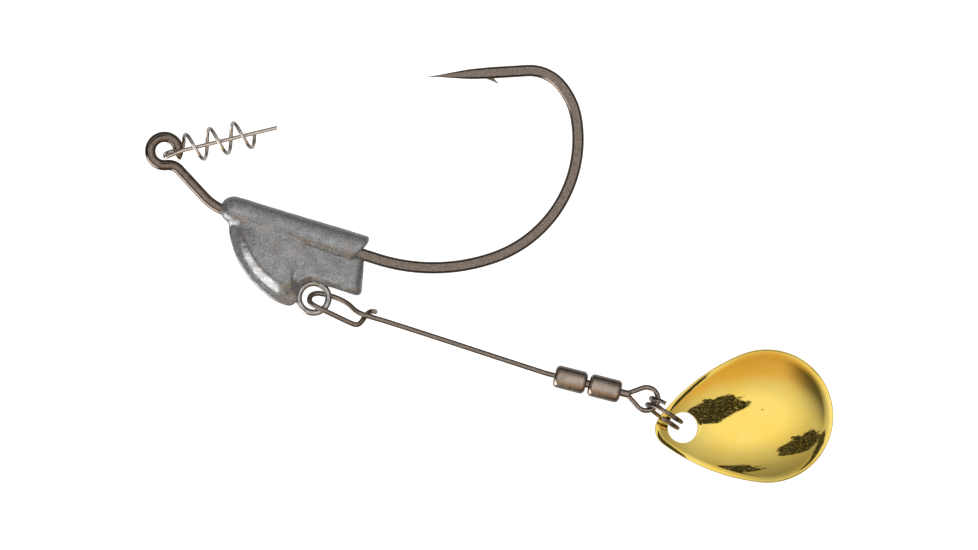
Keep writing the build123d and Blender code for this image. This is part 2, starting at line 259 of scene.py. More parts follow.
def through(points, steps):
    """Stations on a smooth line through points; the first and the last only lead it."""
    stations = []
    for before, start, end, after in zip(points, points[1:], points[2:], points[3:]):
        for step in range(1, steps + 1):
            t = step / steps
            stations.append(
                0.5 * (
                    2 * start
                    + (end - before) * t
                    + (2 * before - 5 * start + 4 * end - after) * t**2
                    + (3 * start - before - 3 * end + after) * t**3
                )
            )
    return stations


# ------------------------------------------------------------------ materials
MIX_SHARE = 0                # a colour mix's own sockets, by number: names repeat on that node
MIX_FIRST = 6
MIX_SECOND = 7
MIX_RESULT = 2


def new_material(name):
    """A node material, with its node list, its links and its shader."""
    material = bpy.data.materials.new(name)
    material.use_nodes = True
    tree = material.node_tree
    return material, tree.nodes, tree.links, tree.nodes["Principled BSDF"]


def noise(nodes, links, grain, detail=4.0, stretch=(1, 1, 1), turn=0.0):
    """Noise with lumps about grain millimetres across, drawn out by stretch."""
    place = nodes.new("ShaderNodeTexCoord")
    mapping = nodes.new("ShaderNodeMapping")
    mapping.vector_type = "TEXTURE"
    mapping.inputs["Rotation"].default_value = (0, 0, radians(turn))
    mapping.inputs["Scale"].default_value = stretch
    texture = nodes.new("ShaderNodeTexNoise")
    texture.inputs["Scale"].default_value = 1 / (grain * MM)
    texture.inputs["Detail"].default_value = detail
    links.new(place.outputs["Object"], mapping.inputs["Vector"])
    links.new(mapping.outputs["Vector"], texture.inputs["Vector"])
    return texture


def ramp(nodes, links, source, *stops):
    """Colour ramp from (place, colour) stops, driven by a node's first output."""
    node = nodes.new("ShaderNodeValToRGB")
    elements = node.color_ramp.elements
    for index, (place, colour) in enumerate(stops):
        element = elements[index] if index < 2 else elements.new(place)
        element.position = place
        shade = colour if isinstance(colour, tuple) else (colour,) * 3
        element.color = (*shade, 1.0)
    links.new(source.outputs[0], node.inputs["Fac"])
    return node


def blend_colours(nodes, links, share, first, second, mode="MIX"):
    """Mix node between two colour outputs; share is a number or another node's output."""
    node = nodes.new("ShaderNodeMix")
    node.data_type = "RGBA"
    node.blend_type = mode
    if isinstance(share, float):
        node.inputs[MIX_SHARE].default_value = share
    else:
        links.new(share, node.inputs[MIX_SHARE])
    for number, colour in ((MIX_FIRST, first), (MIX_SECOND, second)):
        socket = node.inputs[number]
        if isinstance(colour, tuple):
            socket.default_value = (*colour, 1.0)
        else:
            links.new(colour, socket)
    return node.outputs[MIX_RESULT]


def add_bump(nodes, links, source, shader, height, strength=1.0, under=None):
    """Bump of a height in millimetres; under is a bump that this one adds to."""
    node = nodes.new("ShaderNodeBump")
    node.inputs["Strength"].default_value = strength
    node.inputs["Distance"].default_value = height * MM
    links.new(source.outputs[0], node.inputs["Height"])
    if under is not None:
        links.new(under.outputs["Normal"], node.inputs["Normal"])
    links.new(node.outputs["Normal"], shader.inputs["Normal"])
    return node


def plated_wire(name, dark, light, rough, grain):
    """Plating over drawn wire: cloudy colour, an uneven polish and small drawing marks."""
    material, nodes, links, shader = new_material(name)
    cloud = noise(nodes, links, grain, detail=5.0)
    tint = ramp(nodes, links, cloud, (0.32, dark), (0.70, light))
    links.new(tint.outputs["Color"], shader.inputs["Base Color"])
    polish = noise(nodes, links, grain * 0.35, detail=3.0)
    gloss = ramp(nodes, links, polish, (0.3, rough * 0.75), (0.75, rough * 1.4))
    links.new(gloss.outputs["Color"], shader.inputs["Roughness"])
    shader.inputs["Metallic"].default_value = 1.0
    add_bump(nodes, links, polish, shader, height=0.010, strength=0.5)
    return material


def brushed_barrel(name, dark, light, rough):
    """Barrel turned in a lathe: fine rings round its own axis, over cloudy plating."""
    material, nodes, links, shader = new_material(name)
    cloud = noise(nodes, links, grain=1.1, detail=5.0)
    tint = ramp(nodes, links, cloud, (0.32, dark), (0.70, light))
    rings = noise(
        nodes, links, grain=0.16, detail=3.0, stretch=(0.45, 14, 14), turn=SWIVEL_HEADING
    )
    grey = ramp(nodes, links, rings, (0.25, 0.82), (0.75, 1.0))
    tone = blend_colours(
        nodes, links, 1.0, tint.outputs["Color"], grey.outputs["Color"], "MULTIPLY"
    )
    links.new(tone, shader.inputs["Base Color"])
    gloss = ramp(nodes, links, rings, (0.3, rough * 0.8), (0.75, rough * 1.3))
    links.new(gloss.outputs["Color"], shader.inputs["Roughness"])
    shader.inputs["Metallic"].default_value = 1.0
    add_bump(nodes, links, rings, shader, height=0.006, strength=0.3)
    return material


PIT_SPACING = 1.7


def cast_lead_finish():
    """Cast lead: grey with fainter clouds and warmer stains, a sandy skin and small pits."""
    material, nodes, links, shader = new_material("cast_lead_skin")
    mottle = noise(nodes, links, grain=1.6, detail=8.0)
    grey = ramp(
        nodes, links, mottle,
        (0.25, (0.27, 0.27, 0.275)), (0.50, (0.32, 0.32, 0.325)), (0.75, (0.38, 0.38, 0.385)),
    )
    stain = noise(nodes, links, grain=2.6)
    stained = ramp(nodes, links, stain, (0.52, 0.0), (0.72, 0.5))
    warm = blend_colours(
        nodes, links, stained.outputs["Color"], grey.outputs["Color"], (0.44, 0.355, 0.30)
    )
    speck = noise(nodes, links, grain=0.17, detail=2.0)
    freckle = ramp(nodes, links, speck, (0.36, 0.60), (0.52, 1.0), (0.70, 1.40))
    tone = blend_colours(nodes, links, 1.0, warm, freckle.outputs["Color"], "MULTIPLY")
    links.new(tone, shader.inputs["Base Color"])
    gloss = ramp(nodes, links, mottle, (0.3, 0.38), (0.72, 0.24))
    links.new(gloss.outputs["Color"], shader.inputs["Roughness"])
    shader.inputs["Metallic"].default_value = 0.72
    sand = noise(nodes, links, grain=0.26, detail=6.0)
    sandy = add_bump(nodes, links, sand, shader, height=0.06, strength=0.55)
    pits = nodes.new("ShaderNodeTexVoronoi")
    pits.inputs["Scale"].default_value = 1 / (PIT_SPACING * MM)
    place = nodes.new("ShaderNodeTexCoord")
    links.new(place.outputs["Object"], pits.inputs["Vector"])
    dents = ramp(nodes, links, pits, (0.0, 0.0), (0.13, 1.0))
    add_bump(nodes, links, dents, shader, height=0.08, strength=0.6, under=sandy)
    return material


def gold_finish():
    """Polished gold plating: mirror bright, with a faint haze and polishing marks."""
    material, nodes, links, shader = new_material("gold_plate")
    haze = noise(nodes, links, grain=5.0, detail=3.0)
    tint = ramp(nodes, links, haze, (0.35, (1.0, 0.70, 0.13)), (0.70, (1.0, 0.76, 0.20)))
    links.new(tint.outputs["Color"], shader.inputs["Base Color"])
    marks = noise(nodes, links, grain=0.5, stretch=(6, 1, 1), turn=BLADE_HEADING + 90)
    gloss = ramp(nodes, links, marks, (0.35, 0.03), (0.75, 0.08))
    links.new(gloss.outputs["Color"], shader.inputs["Roughness"])
    shader.inputs["Metallic"].default_value = 1.0
    add_bump(nodes, links, marks, shader, height=0.004, strength=0.25)
    return material


BLACK_NICKEL = plated_wire(
    "black_nickel_plate", (0.15, 0.12, 0.10), (0.27, 0.215, 0.175), rough=0.11, grain=0.3
)
GUNMETAL = plated_wire(
    "gunmetal_plate", (0.19, 0.155, 0.13), (0.33, 0.265, 0.22), rough=0.13, grain=0.35
)
SPRING_STEEL = plated_wire(
    "spring_steel", (0.62, 0.55, 0.49), (0.84, 0.76, 0.69), rough=0.24, grain=0.6
)
BRIGHT_WIRE = plated_wire(
    "bright_wire", (0.28, 0.265, 0.25), (0.56, 0.53, 0.50), rough=0.14, grain=0.6
)
BARREL = brushed_barrel("brushed_gunmetal", (0.36, 0.29, 0.24), (0.54, 0.44, 0.365), rough=0.26)
CAST_LEAD = cast_lead_finish()
GOLD = gold_finish()


def coat(piece, material):
    """Give a piece one material."""
    piece.data.materials.clear()
    piece.data.materials.append(material)


for node_name, material in (
    ("bait_keeper", SPRING_STEEL),
    ("belly_eyelet", BRIGHT_WIRE),
    ("centre_pin", GUNMETAL),
    ("split_ring", GUNMETAL),
):
    coat(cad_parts[node_name], material)


# ------------------------------------------------------------------ hook
EYE_WIRE_R = 0.782           # a hair thinner than the design's wire
FORGED_R = 0.865             # the same, in the hook's plane
FORGED_HALF = 0.70           # and a hair thicker than the design's across it
EYE_TIP_FACE = 0.6           # of the tip's radius, at its blunt end
EYE_TIP_LENGTH = 0.12
EYE_TAPER_R = 0.62           # halfway along the taper
FORGING_LENGTH = 1.2         # from the round wire to the flattened wire
BEND_STEP = 0.55             # between sections round the bend, or less on its tightest arcs
BEND_LEAST_STEPS = 12
SHOULDER_BREAK = 0.4         # of the shoulder's length, where it starts to narrow faster
SHOULDER_BREAK_WIDTH = 0.965
NEEDLE_WIDTHS = (0.84, 0.62, 0.40, 0.19, NEEDLE_TIP_R / SHOULDER_R)
BARB_BEHIND = 1.8            # behind the needle's start
BARB_INSIDE = 0.45           # of the wire's radius, where it is rooted
BARB_R = 0.42
BARB_SPLAY = 22.0
BARB_FLATNESS = 0.55
BARB_STEPS = ((0.60, 0.85, 10.0), (0.65, 0.74, 6.0), (0.65, 0.58, 4.0), (0.60, 0.16, 0.0))


def draw_hook_wire():
    """One wire from the eye's tip to the point; gives its pen, shank corner and needle start."""
    # The neck's line passes beside the eye, and a reverse bend joins it to the eye's circle.
    neck_side = heading(NECK_HEADING + 90)
    bend_beside = NECK_BESIDE - NECK_BEND_R
    bend_along = sqrt((EYE_LOOP_R + NECK_BEND_R) ** 2 - bend_beside**2)
    reverse_centre = heading(NECK_HEADING) * bend_along + neck_side * bend_beside
    reverse_angle = degrees(atan2(reverse_centre.y, reverse_centre.x))

    eye_start = heading(EYE_END_ANGLE) * EYE_LOOP_R
    wire_end = eye_start - heading(EYE_END_ANGLE + 90) * EYE_TAPER
    half_taper = (EYE_TAPER - EYE_TIP_LENGTH) / 2
    pen = Pen("hook_wire", wire_end, EYE_END_ANGLE + 90, EYE_TIP_R * EYE_TIP_FACE)
    pen.run(EYE_TIP_LENGTH, 1 / EYE_TIP_FACE)
    pen.run(half_taper, EYE_TAPER_R / EYE_TIP_R)
    pen.run(half_taper, EYE_WIRE_R / EYE_TAPER_R)
    pen.point = eye_start
    pen.bend(EYE_LOOP_R, 360 + reverse_angle - EYE_END_ANGLE, steps=72)
    pen.bend(NECK_BEND_R, NECK_HEADING - (reverse_angle + 90), steps=18)
    pen.run(NECK_LENGTH)
    shank_turn = SHANK_HEADING - NECK_HEADING
    pen.bend(SHANK_BEND_R, shank_turn, steps=14)
    corner_behind = SHANK_BEND_R * tan(radians(shank_turn / 2))
    shank_corner = pen.point - heading(SHANK_HEADING) * corner_behind
    pen.run(FORGED_START)
    pen.run(FORGING_LENGTH, FORGED_R / EYE_WIRE_R)
    pen.flatten(FORGED_HALF)
    pen.run(SHANK_LENGTH - FORGED_START - FORGING_LENGTH)
    for bend_r, bend_turn in BEND_ARCS:
        steps = round(bend_r * radians(bend_turn) / BEND_STEP)
        pen.bend(bend_r, bend_turn, max(BEND_LEAST_STEPS, steps))
    pen.run(POINT_LEG)
    pen.run(SHOULDER_LENGTH * SHOULDER_BREAK, SHOULDER_BREAK_WIDTH)
    pen.run(
        SHOULDER_LENGTH * (1 - SHOULDER_BREAK), SHOULDER_R / (FORGED_R * SHOULDER_BREAK_WIDTH)
    )
    needle_start = pen.point.copy()
    width = 1.0
    for next_width in NEEDLE_WIDTHS:
        pen.run(NEEDLE_LENGTH / len(NEEDLE_WIDTHS), next_width / width)
        width = next_width
    return pen, shank_corner, needle_start


def draw_barb(needle_start, point_angle):
    """Thin curved sliver lifted from the inner side of the point."""
    inward = heading(point_angle + 90)
    root = needle_start - heading(point_angle) * BARB_BEHIND + inward * SHOULDER_R * BARB_INSIDE
    pen = Pen("barb", root, point_angle + 180 - BARB_SPLAY, BARB_R, sides=16)
    for length, scale, turn in BARB_STEPS:
        pen.run(length, scale)
        pen.angle -= turn
    bpy.ops.mesh.select_all(action="SELECT")
    bpy.ops.transform.resize(value=(1, 1, BARB_FLATNESS), center_override=root * MM)
    return settle(pen.piece)


hook_pen, SHANK_CORNER, needle_start = draw_hook_wire()
hook = settle(hook_pen.piece, smooth_angle=35.0)
barb = draw_barb(needle_start, hook_pen.angle)
apply_modifier(hook, "BOOLEAN", operation="UNION", object=barb, solver="EXACT")
bpy.data.objects.remove(barb)
settle(hook, smooth_angle=35.0)
coat(hook, BLACK_NICKEL)
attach(hook, "hook_body")
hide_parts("hook")


# ------------------------------------------------------------------ lead weight
# It is drawn lying along X from the corner of the neck and the shank, then put in place.
CAST_VOXEL = 0.13
CASTING_EDGE = 0.30          # upright edge where the two halves of the mould meet
KEEL_CENTRE = (10.5, -1.0)   # the keel's rounding closes in towards this place
KEEL_SHOULDER = (
    (0.9875, 0.30), (0.925, 0.58), (0.85, 0.92), (0.80, 1.34), (0.75, 1.82), (0.70, 2.22),
    (0.64, 2.52), (0.55, 2.73), (0.40, 2.86), (0.25, 2.91),
)
KEEL_FULL = 2.2              # it keeps its full height this far above the toe
KEEL_KEEP = 0.50             # of its height, beside the ridge
INTO_RIDGE = 0.6             # keel and fin reach this far past the shank, inside the ridge
FIN_EDGE = 0.50
FIN_CENTRE = (16.0, -0.6)
FIN_SHOULDER = ((0.975, 0.60), (0.93, 1.20), (0.88, 1.52), (0.82, 1.70))
FIN_FULL = 1.4               # it keeps its full height this far above the notch
FIN_KEEP = 0.50              # of its height, at the next line across and above it
FIN_KEEP_FROM = -1.2
FIN_TAPER = 0.80             # of its height, at its rear end
FIN_ROUND = 0.7
FIN_TURN = 104.0             # round its lower rear corner
FIN_INTO_KEEL = 0.5          # where the notch's filling starts, inside the keel's heel
FIN_ROOT = 2.0               # and how much further in the fin's front reaches
NOTCH_FILL = 1.3             # how far the notch's inner corner is filled
NOTCH_FILL_SLOPE = 42.0
RIDGE_BLUNT = 0.65           # its end's upper corner is cut off this far behind its middle
RIDGE_GROWTH = (0.98, 1.10)  # of its radius, at its nose and at its end
RIDGE_SINK = 0.20
RIDGE_SIDES = 56
CAST_PASSES = 7
HEEL_PASSES = 160
FRONT_PASSES = 110
END_PASSES = 60
BLEND_REACH = 3.2            # round the heel, where the keel runs out into the fin


def arc_turn(start, through, end):
    """Radius and turn of the arc through three points, positive when it goes to the left."""
    a, b, c = (Vector((*point, 0)) for point in (start, through, end))
    doubled = (b - a).cross(c - a).z
    radius = (b - a).length * (c - b).length * (c - a).length / (2 * abs(doubled))
    turn = 2 * degrees(asin((c - a).length / (2 * radius)))
    return radius, turn if doubled > 0 else -turn


def raise_half(pen, edge, centre, shoulder):
    """Fill an outline, raise it by its edge, and close it in by steps of (share, height)."""
    piece = pen.piece
    bpy.ops.mesh.select_all(action="SELECT")
    bpy.ops.mesh.remove_doubles(threshold=JOIN * MM)
    bpy.ops.mesh.edge_face_add()
    bpy.ops.mesh.extrude_region_move(TRANSFORM_OT_translate={"value": (0, 0, edge * MM)})
    share, height = 1.0, 0.0
    for next_share, next_height in shoulder:
        rise = (0, 0, (next_height - height) * MM)
        bpy.ops.mesh.extrude_region_move(TRANSFORM_OT_translate={"value": rise})
        closing = next_share / share
        bpy.ops.transform.resize(
            value=(closing, closing, 1), center_override=(centre[0] * MM, centre[1] * MM, 0)
        )
        share, height = next_share, next_height
    choose(piece, "faces", lambda face: all(abs(vert.co.z) < 1e-7 for vert in face.verts))
    bpy.ops.mesh.delete(type="FACE")
    bpy.ops.object.mode_set(mode="OBJECT")
    return piece


def fall_away(piece, low, high, keep):
    """Lower a half from its full height at one line across to a share of it at another."""
    for vert in piece.data.vertices:
        share = (vert.co.y / MM - low) / (high - low)
        vert.co.z *= 1 - (1 - keep) * max(0.0, min(1.0, share))


def draw_keel():
    """Half of the keel, below the front of the ridge."""
    radius, turn = arc_turn(KEEL_FRONT, KEEL_BELLY, KEEL_TOE)
    chord = Vector(KEEL_TOE) - Vector(KEEL_FRONT)
    pen = Pen("keel", KEEL_FRONT, degrees(atan2(chord.y, chord.x)) - turn / 2)
    pen.bend(radius, turn, steps=26)
    pen.angle = 0.0
    pen.run(KEEL_HEEL - KEEL_TOE[0] - HEEL_ROUND)
    pen.bend(HEEL_ROUND, 90.0, steps=8)
    pen.run(-KEEL_TOE[1] - HEEL_ROUND + INTO_RIDGE)
    pen.angle = 180.0
    pen.run(KEEL_HEEL - KEEL_FRONT[0])
    pen.angle = 270.0
    pen.run(INTO_RIDGE - KEEL_FRONT[1])
    piece = raise_half(pen, CASTING_EDGE, KEEL_CENTRE, KEEL_SHOULDER)
    fall_away(piece, KEEL_TOE[1] + KEEL_FULL, 0.0, KEEL_KEEP)
    return piece


def draw_fin():
    """Half of the fin behind the keel, above the notch, with the notch's corner filled."""
    front = KEEL_HEEL - FIN_INTO_KEEL
    pen = Pen("fin", (front, NOTCH_TOP - NOTCH_FILL), NOTCH_FILL_SLOPE)
    pen.run(NOTCH_FILL / sin(radians(NOTCH_FILL_SLOPE)))
    pen.angle = 0.0
    pen.run(FIN_END - pen.point.x - FIN_ROUND)
    pen.bend(FIN_ROUND, FIN_TURN, steps=7)
    pen.run(-NOTCH_TOP - FIN_ROUND - INTO_RIDGE)
    pen.angle = 180.0
    pen.run(pen.point.x - front + FIN_ROOT)
    pen.angle = 270.0
    pen.run(pen.point.y - NOTCH_TOP + NOTCH_FILL)
    pen.angle = 0.0
    pen.run(FIN_ROOT)
    piece = raise_half(pen, FIN_EDGE, FIN_CENTRE, FIN_SHOULDER)
    for vert in piece.data.vertices:
        share = max(0.0, (vert.co.x / MM - KEEL_HEEL) / (FIN_END - KEEL_HEEL))
        vert.co.z *= 1 - (1 - FIN_TAPER) * share
    fall_away(piece, NOTCH_TOP + FIN_FULL, FIN_KEEP_FROM, FIN_KEEP)
    return piece


def draw_ridge():
    """Round ridge along the shank, with a ball nose and an end cut on a slant."""
    clear_selection()
    length = RIDGE_END - RIDGE_NOSE + RIDGE_R
    bpy.ops.mesh.primitive_cylinder_add(
        vertices=RIDGE_SIDES, radius=RIDGE_R * MM, depth=length * MM,
        location=((RIDGE_NOSE + length / 2) * MM, RIDGE_RISE * MM, 0), rotation=(0, pi / 2, 0),
    )
    piece = start_editing(bpy.context.object, "ridge")
    bpy.ops.mesh.bisect(
        plane_co=((RIDGE_END + RIDGE_BLUNT) * MM, 0, 0), plane_no=(1, 0, 0),
        use_fill=True, clear_outer=True,
    )
    bpy.ops.mesh.select_all(action="SELECT")
    cut_normal = heading(-RIDGE_END_SLOPE)
    bpy.ops.mesh.bisect(
        plane_co=(RIDGE_END * MM, RIDGE_RISE * MM, 0), plane_no=cut_normal,
        use_fill=True, clear_outer=True,
    )
    bpy.ops.object.mode_set(mode="OBJECT")
    clear_selection()
    bpy.ops.mesh.primitive_uv_sphere_add(
        segments=RIDGE_SIDES, ring_count=RIDGE_SIDES // 2, radius=RIDGE_R * MM,
        location=(RIDGE_NOSE * MM, RIDGE_RISE * MM, 0), rotation=(0, pi / 2, 0),
    )
    bpy.ops.object.transform_apply(location=True, rotation=True, scale=True)
    piece.select_set(True)
    bpy.context.view_layer.objects.active = piece
    bpy.ops.object.join()
    for vert in piece.data.vertices:
        share = max(0.0, min(1.0, (vert.co.x / MM - RIDGE_NOSE) / (RIDGE_END - RIDGE_NOSE)))
        growth = RIDGE_GROWTH[0] + (RIDGE_GROWTH[1] - RIDGE_GROWTH[0]) * share
        vert.co.y = (vert.co.y - RIDGE_RISE * MM) * growth + (RIDGE_RISE - RIDGE_SINK) * MM
        vert.co.z *= growth
    return piece


def rub_down(piece, name, passes, weight_at):
    """Smooth a piece by weights from places along and across it; over 1 counts as 1."""
    group = piece.vertex_groups.new(name=name)
    for vert in piece.data.vertices:
        weight = weight_at(vert.co.x / MM, vert.co.y / MM)
        if weight > 0:
            group.add([vert.index], min(1.0, weight), "REPLACE")
    apply_modifier(piece, "SMOOTH", factor=0.7, iterations=passes, vertex_group=name)


def rise(value, start, reach):
    """0 at a start and 1 at a reach from it; a reach below 0 rises the other way."""
    return (value - start) / reach


def peak(value, middle, reach):
    """1 at a middle and 0 at a reach to each side of it."""
    return 1 - abs(value - middle) / reach


def heel_weight(along, across):
    """The step between the keel and the fin, above the notch."""
    beside = peak(along, KEEL_HEEL - 0.8, BLEND_REACH)
    return 2.0 * min(beside, rise(across, NOTCH_TOP + 0.5, 1.6), rise(across, -1.3, -0.6))


def front_weight(along, across):
    """The groove beside the ridge, which fades out towards the nose."""
    return 1.6 * min(rise(along, 12.5, -6.0), rise(along, 2.0, 1.5), peak(across, -1.4, 1.6))


def end_weight(along, across):
    """The ridge's cut end."""
    end = RIDGE_END + (across - RIDGE_RISE) * tan(radians(RIDGE_END_SLOPE))
    return 1.5 * min(peak(along, end, 1.1), rise(across, -1.5, 1.0))


def cast_noise(name, size, depth):
    """Cloudy unevenness with lumps about size across, for the casting's skin."""
    texture = bpy.data.textures.new(name, "CLOUDS")
    texture.noise_scale = size * MM
    texture.noise_depth = depth
    return texture


lead = draw_ridge()
for half in (draw_keel(), draw_fin()):
    apply_modifier(half, "MIRROR", use_axis=(False, False, True), merge_threshold=JOIN * MM)
    half.select_set(True)
    lead.select_set(True)
    bpy.context.view_layer.objects.active = lead
    bpy.ops.object.join()
settle(lead)
apply_modifier(lead, "REMESH", mode="VOXEL", voxel_size=CAST_VOXEL * MM)
apply_modifier(lead, "SMOOTH", factor=0.5, iterations=CAST_PASSES)
rub_down(lead, "heel", HEEL_PASSES, heel_weight)
rub_down(lead, "front", FRONT_PASSES, front_weight)
rub_down(lead, "end", END_PASSES, end_weight)
for skin, strength, level in (
    (cast_noise("cast_waves", 3.2, 2), 0.14, 0.55),
    (cast_noise("cast_grain", 0.55, 3), 0.045, 0.5),
):
    apply_modifier(lead, "DISPLACE", texture=skin, strength=strength * MM, mid_level=level)
lead.name = "lead"
set_down(lead, SHANK_CORNER, SHANK_HEADING)
bpy.ops.object.shade_smooth()
coat(lead, CAST_LEAD)
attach(lead, "hook_body")
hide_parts("lead_weight")


# ------------------------------------------------------------------ spinner blade
# It is drawn flat with its tip's centre at the origin, cupped, thickened and put in place.
BLADE_AT = Vector((74.259, -40.601, -3.2))  # up to the cup's deepest point
BLADE_RINGS = 30
BLADE_RIM = 0.60             # a narrow lip round the cup, less steep than the cup itself
RIM_DROP = 0.17
BLADE_EDGE_ROUND = 0.10


def draw_blade():
    """Half the outline: a tip circle and an end circle joined by a flank arc."""
    to_tip = BLADE_FLANK_R - BLADE_TIP_R
    to_end = BLADE_FLANK_R - BLADE_END_R
    flank_x = (to_tip**2 - to_end**2 + BLADE_CENTRES**2) / (2 * BLADE_CENTRES)
    tip_turn = degrees(acos(flank_x / to_tip))
    end_turn = degrees(acos((BLADE_CENTRES - flank_x) / to_end))
    pen = Pen("blade_sheet", (-BLADE_TIP_R, 0), -90.0)
    pen.bend(BLADE_TIP_R, tip_turn, steps=12)
    pen.bend(BLADE_FLANK_R, 180 - tip_turn - end_turn, steps=26)
    pen.bend(BLADE_END_R, end_turn, steps=38)
    bpy.ops.object.mode_set(mode="OBJECT")
    return pen.piece


def cup_height(along, across):
    """Height of the doubly curved cup's underside above its deepest point."""
    sag = CUP_CROSS_R - sqrt(CUP_CROSS_R**2 - across**2)
    return CUP_LONG_R - sqrt((CUP_LONG_R - sag) ** 2 - (along - CUP_AT) ** 2)


def fill_round_hole(blade):
    """Fill the outline with a lip and with rings from there to the hole; gives the outline."""
    take_up(blade)
    bpy.ops.object.mode_set(mode="EDIT")
    bpy.ops.mesh.select_mode(type="VERT")
    bpy.ops.mesh.select_all(action="SELECT")
    bpy.ops.mesh.remove_doubles(threshold=JOIN * MM)
    bpy.ops.mesh.edge_face_add()
    bpy.ops.mesh.inset(thickness=BLADE_RIM * MM, depth=0.0)
    bpy.ops.mesh.inset(thickness=BLADE_RIM * MM, depth=0.0)
    mesh = bmesh.from_edit_mesh(blade.data)
    outline = {vert.index for vert in mesh.verts if vert.is_boundary}
    inner = {vert.index for vert in mesh.verts if vert.select}
    bpy.ops.mesh.delete(type="ONLY_FACE")
    hole = Vector((BLADE_HOLE_IN, 0, 0)) * MM
    mesh = bmesh.from_edit_mesh(blade.data)
    for vert in mesh.verts:
        if vert.index in inner:
            vert.co = hole + (vert.co - hole).normalized() * BLADE_HOLE_R * MM
    bmesh.update_edit_mesh(blade.data)
    choose(
        blade, "edges", lambda edge: sum(vert.index in inner for vert in edge.verts) == 1
    )
    bpy.ops.mesh.subdivide(number_cuts=BLADE_RINGS)
    bpy.ops.object.mode_set(mode="OBJECT")
    return outline


def stamp(blade, outline):
    """Press the flat blank into the cup, with its lip left less steep."""
    for vert in blade.data.vertices:
        height = cup_height(vert.co.x / MM, vert.co.y / MM)
        vert.co.z = (height - (RIM_DROP if vert.index in outline else 0.0)) * MM


blade = draw_blade()
apply_modifier(blade, "MIRROR", use_axis=(False, True, False), merge_threshold=JOIN * MM)
stamp(blade, fill_round_hole(blade))
settle(blade)
if blade.data.polygons[0].normal.z < 0:
    blade.data.flip_normals()
apply_modifier(
    blade, "SOLIDIFY", thickness=BLADE_THICKNESS * MM, offset=1.0, use_even_offset=True,
)
apply_modifier(
    blade, "BEVEL", width=BLADE_EDGE_ROUND * MM, segments=3, limit_method="ANGLE",
    angle_limit=radians(50),
)
set_down(blade, BLADE_AT, BLADE_HEADING)
bpy.ops.object.shade_smooth_by_angle(angle=radians(35))
coat(blade, GOLD)
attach(blade, "blade")
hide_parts("blade")


# ------------------------------------------------------------------ swivel
BARREL_ROUND = 0.66
EYELET_CENTRE = (
    SHANK_CORNER
    + heading(SHANK_HEADING) * EYELET_AT[0]
    + heading(SHANK_HEADING + 90) * EYELET_AT[1]
)
ARM_BEND = EYELET_CENTRE + heading(ARM_HEADING) * ARM_LENGTH
SWIVEL_AT = ARM_BEND + heading(SWIVEL_HEADING) * (SWIVEL_LEAD + BARREL_LENGTH / 2)


def turn_barrel(name, centre, front_hole, rear_hole):
    """Spin a barrel's section round X, hollow and with a hole in each end, and place it."""
    half = BARREL_LENGTH / 2
    pen = Pen(name + "_shell", (-half, front_hole), 90.0)
    pen.run(BARREL_R - BARREL_ROUND - front_hole)
    pen.bend(BARREL_ROUND, -90.0, steps=8)
    pen.run(BARREL_LENGTH - 2 * BARREL_ROUND)
    pen.bend(BARREL_ROUND, -90.0, steps=8)
    pen.run(BARREL_R - BARREL_ROUND - rear_hole)
    inside = BARREL_R - BARREL_WALL
    for angle, length in (
        (180, BARREL_END_WALL),
        (90, inside - rear_hole),
        (180, BARREL_LENGTH - 2 * BARREL_END_WALL),
        (270, inside - front_hole),
        (180, BARREL_END_WALL),
    ):
        pen.angle = angle
        pen.run(length)
    bpy.ops.mesh.select_all(action="SELECT")
    bpy.ops.mesh.remove_doubles(threshold=JOIN * MM)
    bpy.ops.mesh.select_all(action="SELECT")
    bpy.ops.mesh.spin(steps=72, angle=2 * pi, center=(0, 0, 0), axis=(1, 0, 0))
    barrel = settle(pen.piece, smooth_angle=35.0)
    set_down(barrel, SWIVEL_AT + heading(SWIVEL_HEADING) * centre, SWIVEL_HEADING)
    coat(barrel, BARREL)
    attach(barrel, name)
    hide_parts(name)


turn_barrel("front_barrel", 0.0, ARM_WIRE_R + RUNNING_PLAY, CENTRE_NECK_R + RUNNING_PLAY)
turn_barrel("rear_barrel", BARREL_PITCH, CENTRE_NECK_R + RUNNING_PLAY, EYE_NECK_R + RUNNING_PLAY)


# ------------------------------------------------------------------ spinner arm
HEAD_R = 1.10                # the upset end that runs inside the front barrel
HEAD_LENGTH = 1.68
HEAD_EDGE = 0.05
STRAIGHT_LEAD = 0.6          # of the wire between the barrel and the arm's bend
BEND_LEAD = 0.4              # the arm is straight again this far from its bend
ARM_STEPS = 6                # between one place and the next

# Places along the arm, across it and above the hook's plane, from the eyelet's centre.
ARM_PLACES = (
    # the straight wire, from the swivel to where the loop opens
    (33.0, 0.0, 0.0),
    (28.0, 0.0, 0.0),
    (20.0, 0.02, 0.0),
    (12.0, 0.0, 0.0),
    (9.2, -0.06, 0.0),
    (7.6, -0.08, 0.0),
    # the loop's upper strand
    (6.4, 0.12, -0.22),
    (5.4, 0.56, -0.52),
    (4.3, 0.88, -0.76),
    (2.9, 1.02, -0.88),
    (1.4, 0.98, -0.90),
    # its nose, up through the eyelet
    (0.3, 0.78, -0.82),
    (-0.38, 0.30, -0.45),
    (-0.52, -0.28, 0.08),
    (-0.22, -0.78, 0.58),
    (0.55, -1.06, 0.84),
    # its lower strand
    (1.7, -1.22, 0.88),
    (3.2, -1.42, 0.68),
    (5.0, -1.66, 0.28),
    (6.5, -1.84, -0.08),
    # its corner, the crossing under the arm and the end hooked up beside it
    (7.25, -1.76, -0.30),
    (7.66, -1.30, -0.55),
    (7.88, -0.62, -0.82),
    (8.10, 0.06, -0.90),
    (8.50, 0.62, -0.74),
    (8.98, 0.84, -0.26),
    (9.16, 0.84, 0.24),
    (9.18, 0.84, 0.60),
    (9.18, 0.84, 0.90),
)


